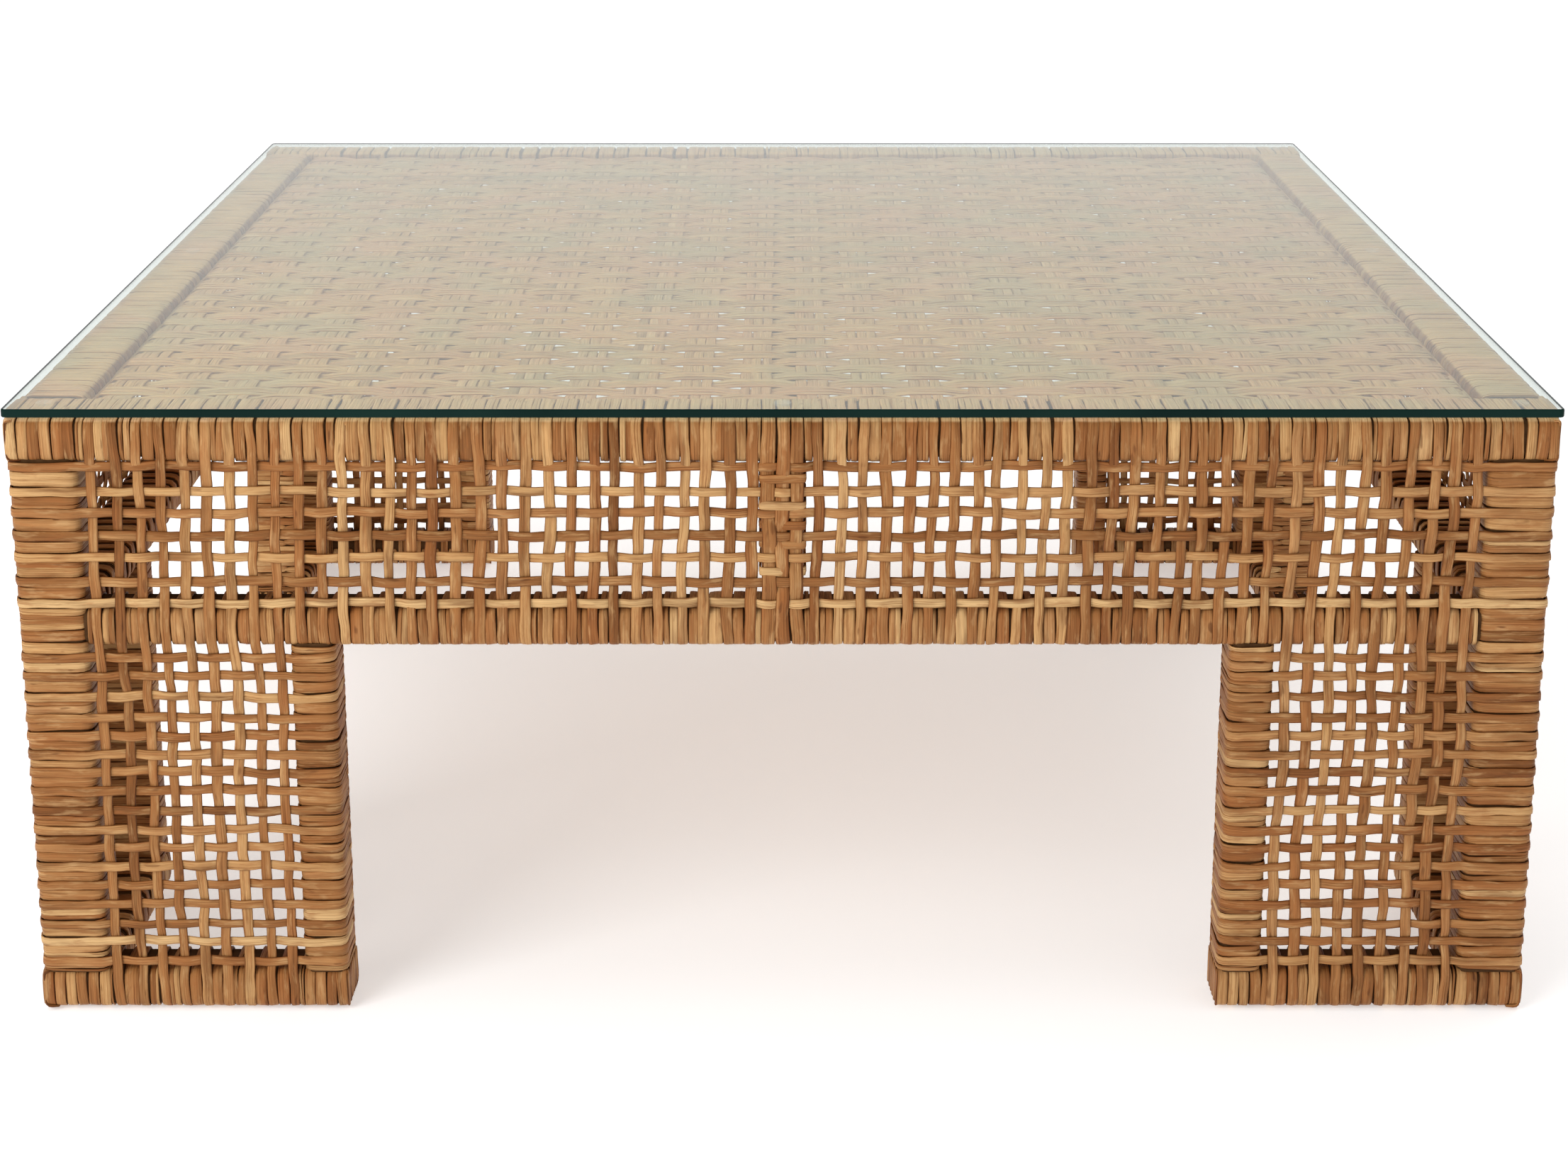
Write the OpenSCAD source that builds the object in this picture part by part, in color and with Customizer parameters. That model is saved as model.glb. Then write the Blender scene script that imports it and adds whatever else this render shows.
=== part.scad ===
// Square wicker coffee table: a dowelled timber frame bound in flat cane strand,
// open woven panels in the apron and in four L-shaped legs, a close woven field
// under a loose plate of glass. Millimetres, +Z up, origin under the middle of
// the table at floor level, front faces -Y.

/* [Overall] */
// Side of the square glass plate
glass_w = 1067; // [900:1:1200]
// Height of the glass above the floor
table_h = 450; // [400:1:520]
// How far the glass stands out past the bound frame on each side
overhang = 1.5; // [1:0.5:8]

/* [Glass] */
// Thickness of the glass
glass_t = 6; // [5:1:10]
// Radius of the plate's four corners
glass_corner_r = 4; // [2:0.5:12]
// Height of the clear pads between frame and glass
pad_h = 1.5; // [1:0.5:6]
// Radius of a clear pad
pad_r = 6; // [4:0.5:8]

/* [Frame, sizes over the binding] */
// Depth of rails and posts, from the outer face inward
rail_d = 46; // [40:1:56]
// Height of the top rail
top_rail_h = 30.5; // [24:0.5:36]
// Height of the rail under the apron panels
apron_rail_h = 28; // [24:1:36]
// Height of the whole apron, from under its rail to the frame's top
apron_h = 164.5; // [130:0.5:190]
// Height of a foot rail
foot_h = 30; // [26:1:40]
// Side of a square corner post
post_w = 48; // [44:1:56]
// Width of a leg, from the outer corner to its end post
leg_w = 220; // [180:1:260]
// Width of a leg's end post
end_post_w = 32; // [28:1:40]
// Width of the stile in the middle of each apron
stile_w = 29; // [25:1:36]
// Radius of the rounded long edges
edge_r = 8; // [4:0.5:10]

/* [Cane] */
// Thickness of the binding
wrap_t = 2; // [1.5:0.1:2.5]
// Width of a woven strand
strand_w = 8.5; // [6:0.5:9]
// Thickness of a woven panel where two strands cross
weave_t = 4.5; // [3:0.5:6]
// How far the woven field lies below the top of the frame
field_drop = 3.5; // [0:0.5:8]
// Upright strands in each apron bay
apron_stakes = 30; // [20:1:34]
// Level strands in each apron bay
apron_rows = 7; // [4:1:8]
// Upright strands in each leg panel
leg_stakes = 9; // [5:1:10]
// Level strands in each leg panel
leg_rows = 17; // [10:1:18]

/* [Joinery] */
// Radius of the bores for the dowels
bore_r = 4; // [3:0.5:5]
// Length of a dowel
dowel_len = 30; // [24:1:32]
// Width of the three battens under the woven field
batten_w = 30; // [24:1:40]
// Height of the battens
batten_h = 16; // [14:1:18]
// Radius of a glide under a leg
glide_r = 10; // [8:0.5:12]
// Height of a glide
glide_h = 2; // [1:0.5:3]

/* [Hidden] */
$fn = 32;

clear = 0.1;                              // air between timber and its binding
gap = 0.2;                                // air between neighbouring bindings
half = glass_w / 2 - overhang;            // middle of the table to the bound outer face
timber = half - wrap_t;                   // middle of the table to the timber's outer face
rail_in = half - rail_d;                  // middle to the bound rail's inner face
timber_in = rail_in + wrap_t;             // middle to the rail timber's inner face
post_in = half - post_w;                  // middle to the bound post's inner face
frame_top = table_h - glass_t - pad_h;    // top of the bound frame
top_rail_z = frame_top - top_rail_h;      // underside of the bound top rail
apron_z = frame_top - apron_h;            // underside of the bound apron rail
apron_top_z = apron_z + apron_rail_h;     // top of the bound apron rail
foot_top_z = glide_h + foot_h;            // top of the bound foot rail
leg_in = half - leg_w;                    // middle to the leg's inner end
dowel_r = bore_r - 0.05;
bore_deep = dowel_len / 2 + 1;
rail_mid = (timber + timber_in) / 2;      // middle line of the rails
post_mid = half - post_w / 2;             // middle line of the corner posts
end_mid = leg_in + end_post_w / 2;        // middle line of the end posts
apron_mid_z = apron_z + apron_rail_h / 2;
top_mid_z = top_rail_z + top_rail_h / 2;
foot_mid_z = glide_h + foot_h / 2;
cross_lift = 5;                           // height between the two dowels that meet in a post
weave_bed_z = frame_top - field_drop - weave_t;
batten_x = [-half / 2, 0, half / 2];
batten_mid_z = weave_bed_z - batten_h / 2;

cane = [0.76, 0.58, 0.38];
cane_dark = [0.66, 0.47, 0.29];
cane_light = [0.80, 0.65, 0.46];
timber_c = [0.62, 0.45, 0.28];
dowel_c = [0.80, 0.66, 0.46];
glass_c = [0.55, 0.72, 0.66, 0.45];
pad_c = [0.90, 0.92, 0.92];
glide_c = [0.12, 0.11, 0.10];

// ---- shapes ----

// Rounded rectangle centred on the origin
module rounded(w, h, r) {
    square([w - 2 * r, h], center = true);
    square([w, h - 2 * r], center = true);
    for (x = [-1, 1], y = [-1, 1])
        translate([x * (w / 2 - r), y * (h / 2 - r)]) circle(r);
}

// Bar from corner a to corner b with its long edges rounded, along X, Y or Z
module bar_x(a, b, r) {
    s = b - a;
    translate([a.x, (a.y + b.y) / 2, (a.z + b.z) / 2])
        rotate([90, 0, 90]) linear_extrude(s.x) rounded(s.y, s.z, r);
}

module bar_z(a, b, r) {
    s = b - a;
    translate([(a.x + b.x) / 2, (a.y + b.y) / 2, a.z])
        linear_extrude(s.z) rounded(s.x, s.y, r);
}

// Bore or dowel: a cylinder whose middle is at p
module rod_x(p, r, l) { translate(p) rotate([0, 90, 0]) cylinder(r = r, h = l, center = true); }
module rod_y(p, r, l) { translate(p) rotate([90, 0, 0]) cylinder(r = r, h = l, center = true); }
module rod_z(p, r, l) { translate(p) cylinder(r = r, h = l, center = true); }

// What is drawn for the front is turned to face another side
module on_side(side) {
    turn = side == "front" ? 0 : side == "right" ? 90 : side == "back" ? 180 : -90;
    rotate([0, 0, turn]) children();
}

// What is drawn for the front left leg is mirrored to another corner
module at_corner(right, back) {
    if (right && back) rotate([0, 0, 180]) children();
    else if (right) mirror([1, 0, 0]) children();
    else if (back) mirror([0, 1, 0]) children();
    else children();
}

// A leg's "x" face lies along the front; its "y" face is the same along the side
module on_face(face) {
    if (face == "y") mirror([1, -1, 0]) children();
    else children();
}

// Open panel of strands w wide and h high, in the plane of the front: the upright
// stakes lie in an outer layer and the level strands in an inner one
module lattice(w, h, stakes, rows) {
    layer = (weave_t - clear) / 2;
    for (i = [0:stakes - 1])
        translate([(i + 0.5) * w / stakes - strand_w / 2, 0, 0]) cube([strand_w, layer, h]);
    for (j = [0:rows - 1])
        translate([0, layer + clear, (j + 0.5) * h / rows - strand_w / 2])
            cube([w, layer, strand_w]);
}

// ---- where each framing member lies, over its binding (front, or front left leg) ----

top_front_a = [-half, -half, top_rail_z];
top_front_b = [half, -rail_in, frame_top];
apron_a = [-post_in + gap, -half, apron_z];
apron_b = [post_in - gap, -rail_in, apron_top_z];
stile_a = [-stile_w / 2, -half, apron_top_z + gap];
stile_b = [stile_w / 2, -rail_in, top_rail_z - gap];
post_a = [-half, -half, foot_top_z + gap];
post_b = [-post_in, -post_in, top_rail_z - gap];
end_a = [-(leg_in + end_post_w), -half, foot_top_z + gap];
end_b = [-leg_in, -rail_in, apron_z - gap];

// ---- timber ----

// The front and back rails run the full width
module top_rail_timber(grow) {
    bar_x([-timber, -timber, top_rail_z + wrap_t] - grow * [1, 1, 1],
          [timber, -timber_in, frame_top - wrap_t] + grow * [1, 1, 1], edge_r - wrap_t);
}

// The side rails lie between them; drawn along the front, to be turned
module side_rail_timber(grow) {
    bar_x([-timber_in, -timber, top_rail_z + wrap_t] - grow * [0, 1, 1],
          [timber_in, -timber_in, frame_top - wrap_t] + grow * [0, 1, 1], edge_r - wrap_t);
}

module apron_rail_timber(grow) {
    reach = half - post_w + wrap_t;
    bar_x([-reach, -timber, apron_z + wrap_t] - grow * [0, 1, 1],
          [reach, -timber_in, apron_top_z - wrap_t] + grow * [0, 1, 1], edge_r - wrap_t);
}

module stile_timber(grow) {
    bar_z([-stile_w / 2 + wrap_t, -timber, apron_top_z - wrap_t] - grow * [1, 1, 0],
          [stile_w / 2 - wrap_t, -timber_in, top_rail_z + wrap_t] + grow * [1, 1, 0],
          edge_r - wrap_t);
}

module post_timber(grow) {
    bar_z([-timber, -timber, foot_top_z - wrap_t] - grow * [1, 1, 0],
          [-post_in - wrap_t, -post_in - wrap_t, top_rail_z + wrap_t] + grow * [1, 1, 0],
          edge_r - wrap_t);
}

module end_post_timber(grow) {
    bar_z([-(leg_in + end_post_w) + wrap_t, -timber, foot_top_z - wrap_t] - grow * [1, 1, 0],
          [-leg_in - wrap_t, -timber_in, apron_z + wrap_t] + grow * [1, 1, 0],
          edge_r - wrap_t);
}

// The foot rail along a leg's x face runs to the corner; the y one stops against it
module foot_timber(face, grow) {
    outer_end = face == "x" ? timber : timber_in;
    bar_x([-outer_end, -timber, glide_h + wrap_t] - grow * [face == "x" ? 1 : 0, 1, 1],
          [-leg_in - wrap_t, -timber_in, foot_top_z - wrap_t] + grow * [1, 1, 1],
          edge_r - wrap_t);
}

// ---- bores and dowels: drawn once, as bores or as dowels ----

// Dowels of one side of the table: stile ends, and the apron rail into both posts
module side_rods(side, r, l) {
    lift = side == "front" || side == "back" ? cross_lift : -cross_lift;
    on_side(side) {
        rod_z([0, -rail_mid, apron_top_z - wrap_t], r, l);
        rod_z([0, -rail_mid, top_rail_z + wrap_t], r, l);
        for (s = [-1, 1])
            rod_x([s * (post_in + wrap_t), -rail_mid, apron_mid_z + lift], r, l);
    }
}

// Dowels of one leg: post and end posts, top and bottom, foot rail into foot rail,
// side rail into the front or back rail
module corner_rods(right, back, r, l) {
    at_corner(right, back) {
        rod_z([-post_mid, -rail_mid, top_rail_z + wrap_t], r, l);
        rod_z([-post_mid, -rail_mid, foot_top_z - wrap_t], r, l);
        rod_y([-rail_mid, -timber_in, top_mid_z], r, l);
        rod_y([-rail_mid, -timber_in, foot_mid_z], r, l);
        for (face = ["x", "y"]) on_face(face) {
            rod_z([-end_mid, -rail_mid, foot_top_z - wrap_t], r, l);
            rod_z([-end_mid, -rail_mid, apron_z + wrap_t], r, l);
        }
    }
}

module batten_rods(r, l) {
    for (x = batten_x, s = [-1, 1])
        rod_y([x, s * timber_in, batten_mid_z], r, l);
}

module side_bores(side) { side_rods(side, bore_r, 2 * bore_deep); }
module corner_bores(right, back) { corner_rods(right, back, bore_r, 2 * bore_deep); }

// ---- nodes ----

module glass_top() {
    color(glass_c)
        translate([0, 0, table_h - glass_t])
            linear_extrude(glass_t) rounded(glass_w, glass_w, glass_corner_r);
}

module glass_pads() {
    color(pad_c)
        for (x = [-1:1], y = [-1:1])
            if (x != 0 || y != 0)
                translate([x * rail_mid, y * rail_mid, frame_top]) cylinder(r = pad_r, h = pad_h);
}

module top_rail(side) {
    long = side == "front" || side == "back";
    color(timber_c) difference() {
        on_side(side) {
            if (long) top_rail_timber(0);
            else side_rail_timber(0);
        }
        side_bores(side);
        if (long) batten_rods(bore_r, 2 * bore_deep);
        for (right = [false, true], back = [false, true])
            if (long ? back == (side == "back") : right == (side == "right"))
                corner_bores(right, back);
    }
}

module apron_rail(side) {
    color(timber_c) difference() {
        on_side(side) apron_rail_timber(0);
        side_bores(side);
        for (right = [false, true], back = [false, true]) {
            long = side == "front" || side == "back";
            if (long ? back == (side == "back") : right == (side == "right"))
                corner_bores(right, back);
        }
    }
}

module centre_stile(side) {
    color(timber_c) difference() {
        on_side(side) stile_timber(0);
        side_bores(side);
    }
}

module corner_post(right, back) {
    color(timber_c) difference() {
        at_corner(right, back) post_timber(0);
        corner_bores(right, back);
        side_bores(back ? "back" : "front");
        side_bores(right ? "right" : "left");
    }
}

module end_post(right, back, face) {
    color(timber_c) difference() {
        at_corner(right, back) on_face(face) end_post_timber(0);
        corner_bores(right, back);
    }
}

module foot_rail(right, back, face) {
    color(timber_c) difference() {
        at_corner(right, back) on_face(face) foot_timber(face, 0);
        corner_bores(right, back);
    }
}

module top_battens() {
    color(timber_c) difference() {
        for (x = batten_x)
            translate([x - batten_w / 2, -timber_in, weave_bed_z - batten_h])
                cube([batten_w, 2 * timber_in, batten_h]);
        batten_rods(bore_r, 2 * bore_deep);
    }
}

module frame_dowels() {
    color(dowel_c) {
        for (side = ["front", "right", "back", "left"]) side_rods(side, dowel_r, dowel_len);
        for (right = [false, true], back = [false, true])
            corner_rods(right, back, dowel_r, dowel_len);
        batten_rods(dowel_r, dowel_len);
    }
}

module foot_glides() {
    color(glide_c)
        for (right = [false, true], back = [false, true]) at_corner(right, back) {
            translate([-rail_mid, -rail_mid, 0]) cylinder(r = glide_r, h = glide_h);
            for (face = ["x", "y"]) on_face(face)
                translate([-end_mid, -rail_mid, 0]) cylinder(r = glide_r, h = glide_h);
        }
}

// Binding of a side: top rail, apron rail and stile, each a separate sleeve
module rail_binding(side) {
    long = side == "front" || side == "back";
    reach = long ? half : rail_in - gap;
    color(cane) on_side(side) {
        difference() {
            bar_x([-reach, -half, top_rail_z], [reach, -rail_in, frame_top], edge_r);
            if (long) top_rail_timber(clear);
            else side_rail_timber(clear);
            stile_timber(clear);
            post_timber(clear);
            mirror([1, 0, 0]) post_timber(clear);
            if (long) {
                for (turn = [-90, 90]) rotate([0, 0, turn]) side_rail_timber(clear);
                for (x = batten_x)
                    translate([x - batten_w / 2 - clear, -timber_in - 1, weave_bed_z - batten_h - clear])
                        cube([batten_w + 2 * clear, wrap_t + 2, batten_h + clear + weave_t]);
            }
        }
        difference() {
            bar_x(apron_a, apron_b, edge_r);
            apron_rail_timber(clear);
            stile_timber(clear);
            end_post_timber(clear);
            mirror([1, 0, 0]) end_post_timber(clear);
        }
        difference() {
            bar_z(stile_a, stile_b, edge_r);
            stile_timber(clear);
        }
    }
}

// Binding of a leg: corner post, two end posts and two foot rails, separate sleeves
module leg_binding(right, back) {
    color(cane_dark) at_corner(right, back) {
        difference() {
            bar_z(post_a, post_b, edge_r);
            post_timber(clear);
            for (face = ["x", "y"]) on_face(face) apron_rail_timber(clear);
        }
        for (face = ["x", "y"]) on_face(face) {
            difference() {
                bar_z(end_a, end_b, edge_r);
                end_post_timber(clear);
            }
            difference() {
                bar_x([face == "x" ? -half : -rail_in + gap, -half, glide_h],
                      [-leg_in, -rail_in, foot_top_z], edge_r);
                foot_timber(face, clear);
                end_post_timber(clear);
                post_timber(clear);
                if (face == "x") mirror([1, -1, 0]) foot_timber("y", clear);
            }
        }
    }
}

module top_weave() {
    side = 2 * (rail_in - gap);
    color(cane_light)
        translate([-side / 2, -side / 2, weave_bed_z]) cube([side, side, weave_t]);
}

module apron_weave(side) {
    w = post_in - stile_w / 2 - 2 * gap;
    h = top_rail_z - apron_top_z - 2 * gap;
    color(cane) on_side(side)
        for (x = [-post_in + gap, stile_w / 2 + gap])
            translate([x, -half, apron_top_z + gap])
                lattice(w, h, apron_stakes, apron_rows);
}

module leg_weave(right, back, face) {
    w = leg_w - post_w - end_post_w - 2 * gap;
    h = apron_z - foot_top_z - 2 * gap;
    color(cane) at_corner(right, back) on_face(face)
        translate([-post_in + gap, -half, foot_top_z + gap])
            lattice(w, h, leg_stakes, leg_rows);
}

glass_top();
glass_pads();
top_rail("front");  // top_rail_front
top_rail("back");  // top_rail_back
top_rail("left");  // top_rail_left
top_rail("right");  // top_rail_right
apron_rail("front");  // apron_rail_front
apron_rail("back");  // apron_rail_back
apron_rail("left");  // apron_rail_left
apron_rail("right");  // apron_rail_right
centre_stile("front");  // centre_stile_front
centre_stile("back");  // centre_stile_back
centre_stile("left");  // centre_stile_left
centre_stile("right");  // centre_stile_right
corner_post(false, false);  // corner_post_front_left
corner_post(true, false);  // corner_post_front_right
corner_post(false, true);  // corner_post_back_left
corner_post(true, true);  // corner_post_back_right
end_post(false, false, "x");  // end_post_front_left_x
end_post(false, false, "y");  // end_post_front_left_y
end_post(true, false, "x");  // end_post_front_right_x
end_post(true, false, "y");  // end_post_front_right_y
end_post(false, true, "x");  // end_post_back_left_x
end_post(false, true, "y");  // end_post_back_left_y
end_post(true, true, "x");  // end_post_back_right_x
end_post(true, true, "y");  // end_post_back_right_y
foot_rail(false, false, "x");  // foot_rail_front_left_x
foot_rail(false, false, "y");  // foot_rail_front_left_y
foot_rail(true, false, "x");  // foot_rail_front_right_x
foot_rail(true, false, "y");  // foot_rail_front_right_y
foot_rail(false, true, "x");  // foot_rail_back_left_x
foot_rail(false, true, "y");  // foot_rail_back_left_y
foot_rail(true, true, "x");  // foot_rail_back_right_x
foot_rail(true, true, "y");  // foot_rail_back_right_y
top_battens();
frame_dowels();
foot_glides();
rail_binding("front");  // rail_binding_front
rail_binding("back");  // rail_binding_back
rail_binding("left");  // rail_binding_left
rail_binding("right");  // rail_binding_right
leg_binding(false, false);  // leg_binding_front_left
leg_binding(true, false);  // leg_binding_front_right
leg_binding(false, true);  // leg_binding_back_left
leg_binding(true, true);  // leg_binding_back_right
top_weave();
apron_weave("front");  // apron_weave_front
apron_weave("back");  // apron_weave_back
apron_weave("left");  // apron_weave_left
apron_weave("right");  // apron_weave_right
leg_weave(false, false, "x");  // leg_weave_front_left_x
leg_weave(false, false, "y");  // leg_weave_front_left_y
leg_weave(true, false, "x");  // leg_weave_front_right_x
leg_weave(true, false, "y");  // leg_weave_front_right_y
leg_weave(false, true, "x");  // leg_weave_back_left_x
leg_weave(false, true, "y");  // leg_weave_back_left_y
leg_weave(true, true, "x");  // leg_weave_back_right_x
leg_weave(true, true, "y");  // leg_weave_back_right_y
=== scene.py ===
import math

import bpy
import numpy as np
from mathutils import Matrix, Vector


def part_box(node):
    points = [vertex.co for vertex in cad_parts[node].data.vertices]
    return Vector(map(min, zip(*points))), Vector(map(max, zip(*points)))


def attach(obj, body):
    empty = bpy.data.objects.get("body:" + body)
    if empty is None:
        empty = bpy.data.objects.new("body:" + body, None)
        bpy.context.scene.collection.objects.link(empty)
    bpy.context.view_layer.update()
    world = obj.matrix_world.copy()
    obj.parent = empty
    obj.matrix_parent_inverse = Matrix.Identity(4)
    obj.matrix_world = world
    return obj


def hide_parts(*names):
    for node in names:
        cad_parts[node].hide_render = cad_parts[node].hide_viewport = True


# Wicker coffee table. The frame's timber, pads, glides and dowels are the packed
# nodes. Every strand of cane is made here: stakes and rows woven over and under
# each other, bindings wound round each rail and post, and the field under the
# glass. Lengths are metres and angles radians.

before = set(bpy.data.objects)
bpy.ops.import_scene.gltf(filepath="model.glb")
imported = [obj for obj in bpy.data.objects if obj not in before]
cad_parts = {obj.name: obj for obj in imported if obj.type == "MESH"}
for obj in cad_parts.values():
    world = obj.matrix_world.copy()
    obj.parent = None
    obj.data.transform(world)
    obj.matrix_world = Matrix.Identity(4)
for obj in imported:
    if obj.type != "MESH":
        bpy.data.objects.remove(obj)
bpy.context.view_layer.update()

SEED = 7
SIDES = ("front", "right", "back", "left")            # each a quarter turn on from the last
CORNERS = ("front_left", "front_right", "back_right", "back_left")
LONG_SIDES = ("front", "back")                        # whose rails run the full width

# ---- sizes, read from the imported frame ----

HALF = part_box("rail_binding_front")[1][0]             # middle of the table to the outer face
RAIL_IN = -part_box("rail_binding_front")[1][1]         # middle to the inner face of the rails
FRAME_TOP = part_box("rail_binding_front")[1][2]
APRON_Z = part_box("rail_binding_front")[0][2]          # underside of the apron rail
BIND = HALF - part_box("top_rail_front")[1][0]          # thickness of the binding
TOP_RAIL_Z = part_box("top_rail_front")[0][2] - BIND
APRON_TOP_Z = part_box("apron_rail_front")[1][2] + BIND
POST_IN = -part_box("corner_post_front_left")[1][0] - BIND
END_OUT = -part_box("end_post_front_left_x")[0][0] + BIND
LEG_IN = -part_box("end_post_front_left_x")[1][0] - BIND
FOOT_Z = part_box("foot_rail_front_left_x")[0][2] - BIND
FOOT_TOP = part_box("foot_rail_front_left_x")[1][2] + BIND
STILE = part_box("centre_stile_front")[1][0] + BIND     # half the width of the stile
FIELD_LO, FIELD_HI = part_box("top_weave")

# ---- sizes of the cane ----

EDGE_R = 0.0075                                       # bend of a strand round an edge
TIGHT = 0.0010                                        # depth of a tight strand's middle
WRAP_T = 0.0017                                       # thickness of a wound strand
STAKE_W = 0.0074
STAKE_T = 0.0017
ROW_W = 0.0069
ROW_T = 0.0016
WEAVE_N = HALF - 0.0024                               # middle plane of the open panels
OVER_N = HALF - 0.0002                                # a woven strand that crosses a rail or post
STILE_N = HALF - 0.0005                               # middle plane of the weave over a stile
SWING = 0.00095                                       # how far a strand swings over and under
STAKES = 30                                           # in each apron bay
STILE_STRANDS = 3
APRON_ROWS = 7
LEG_ROWS = 17
ROW_TONES = (0.30, 0.88, 0.75, 0.10, 0.84, 0.14, 1.0)  # apron rows from the top, 0 dark and 1 pale
STEP = 0.0038                                         # spacing of points along a woven strand
WRAP_STEP = 0.0085                                    # and along a wound one
WOVEN_BEND = 0.01                                     # bend of a strand off a rail or post
PAINTED_LIGHT_FROM = FRAME_TOP - 0.0026                      # height from which the cane is painted paler, painted light from above

# ---- how far strands stray, and the longest wave of it along the strand ----

STAKE_DRIFT = (0.0009, 0.16)
BAY_DRIFT = (0.0022, 0.5)                             # shared by all the stakes of one bay
ROW_DRIFT = (0.0010, 0.22)
STAKE_PLACE = 0.0010                                  # spread of the stakes' distances apart
APRON_ROW_PLACE = 0.0009                              # and of the rows' heights
LEG_ROW_PLACE = 0.0007
BAND_PLACE = 0.0012
BAND_LEAN = 0.03                                      # spread of a winding's slope
RAIL_LEAN = 0.018
POST_LEAN = 0.014

# ---- windings that fill a gap ----

MIN_GAP = 0.0012                                      # narrowest gap on a rail that gets one
MIN_POST_GAP = 0.003                                  # and on a post
POST_WRAP_W = 0.0082                                  # usual width on a post
ONE_IN_GAP = 0.58                                     # share of the gaps that get one, not two
POST_WINDINGS = 6                                     # across the end of a rail, over a post
END_POST_WINDINGS = 4


def rng_for(*key):
    """Its own random numbers for each piece, so that one piece can change alone."""
    return np.random.default_rng([SEED] + [sum(ord(c) * (i + 1) for i, c in enumerate(str(k)))
                                           for k in key])


class Wobble:
    """A smooth random curve: three sine waves of up to about amp, the longest one's length given.

    With loop, the length of a closed strand, it comes back to where it started."""

    def __init__(self, rng, amp, longest, loop=None):
        if loop is None:
            waves = longest / np.array([1.0, 1.7, 3.1])
        else:
            waves = loop / np.array([1.0, 2.0, 3.0])
        self.rates = 2 * math.pi / waves
        self.phase = rng.uniform(0, 2 * math.pi, 3)
        self.amp = amp * rng.uniform(0.5, 1.0, 3) * np.array([0.8, 0.5, 0.35])

    def __call__(self, s):
        s = np.asarray(s, float)
        return (self.amp * np.sin(s[..., None] * self.rates + self.phase)).sum(-1)


# ---- strands ----

# Outline of a strand's section: across (-1 to 1) and through it. V above RIDGED is the face
# that shows, whose points are raised or lowered a little into ridges.
SECTION_U = np.array([-1, -0.93, -0.56, -0.2, 0.2, 0.56, 0.93, 1, 0.82, -0.82])
SECTION_V = np.array([0, 0.66, 1, 1.05, 1.05, 1, 0.66, 0, -0.9, -0.9])
SMALL_U = np.array([-1, -0.90, -0.30, 0.30, 0.90, 1, 0.75, -0.75])
SMALL_V = np.array([0.25, 0.92, 1.05, 1.05, 0.92, 0.25, -0.9, -0.9])
RIDGED = 0.9
RIDGE = 0.11                                          # spread of the ridges, a share of V
WIDTH_WAVE = (0.08, 0.10)                             # share of the width, and longest wave
THICK_WAVE = (0.10, 0.07)
ROLL_WAVE = 0.09                                      # longest wave of its twist
DRIFT_WAVE = 0.06                                     # and of its straying
END_TAPER = (0.55, 0.9)                               # width at an open end, and next to it

STRAIGHT = 0.02                                       # turn too small to need a bend
BEND_STEP = 0.55                                      # turn between two points of a bend
BEND_SHARE = 0.48                                     # most that a bend takes of a stretch


def unit(v):
    """Vectors of length 1 along v."""
    return v / np.maximum(np.linalg.norm(v, axis=-1, keepdims=True), 1e-12)


def route(corners, radii, step):
    """Points along a line through corners (2D), each inner corner rounded to its radius."""
    pts = [np.asarray(corners[0], float)]
    corners = [np.asarray(c, float) for c in corners]
    for i in range(1, len(corners) - 1):
        a, b, c = corners[i - 1:i + 2]
        into, out = unit(b - a), unit(c - b)
        turn = math.acos(max(-1, min(1, float(into @ out))))
        if turn < STRAIGHT:
            pts.append(b)
            continue
        cut = radii[i - 1] * math.tan(turn / 2)
        cut = min(cut, BEND_SHARE * np.linalg.norm(b - a), BEND_SHARE * np.linalg.norm(c - b))
        start, end = b - into * cut, b + out * cut
        n = max(1, int(math.ceil(turn / BEND_STEP)))
        for k in range(n + 1):
            t = k / n
            pts.append((1 - t) ** 2 * start + 2 * t * (1 - t) * b + t * t * end)
    pts.append(corners[-1])
    out = [pts[0]]
    for p, q in zip(pts, pts[1:]):
        n = max(1, int(round(np.linalg.norm(q - p) / step)))
        out += [p + (q - p) * k / n for k in range(1, n + 1)]
    return np.array(out)


def left_of(path, closed=False):
    """The unit vector a quarter turn anticlockwise from each point's direction."""
    t = np.roll(path, -1, 0) - np.roll(path, 1, 0) if closed else np.gradient(path, axis=0)
    t = unit(t)
    return np.stack([-t[:, 1], t[:, 0]], 1)


def lengths(path):
    """How far along path each of its points lies."""
    return np.concatenate([[0], np.cumsum(np.linalg.norm(np.diff(path, axis=0), axis=1))])


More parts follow.
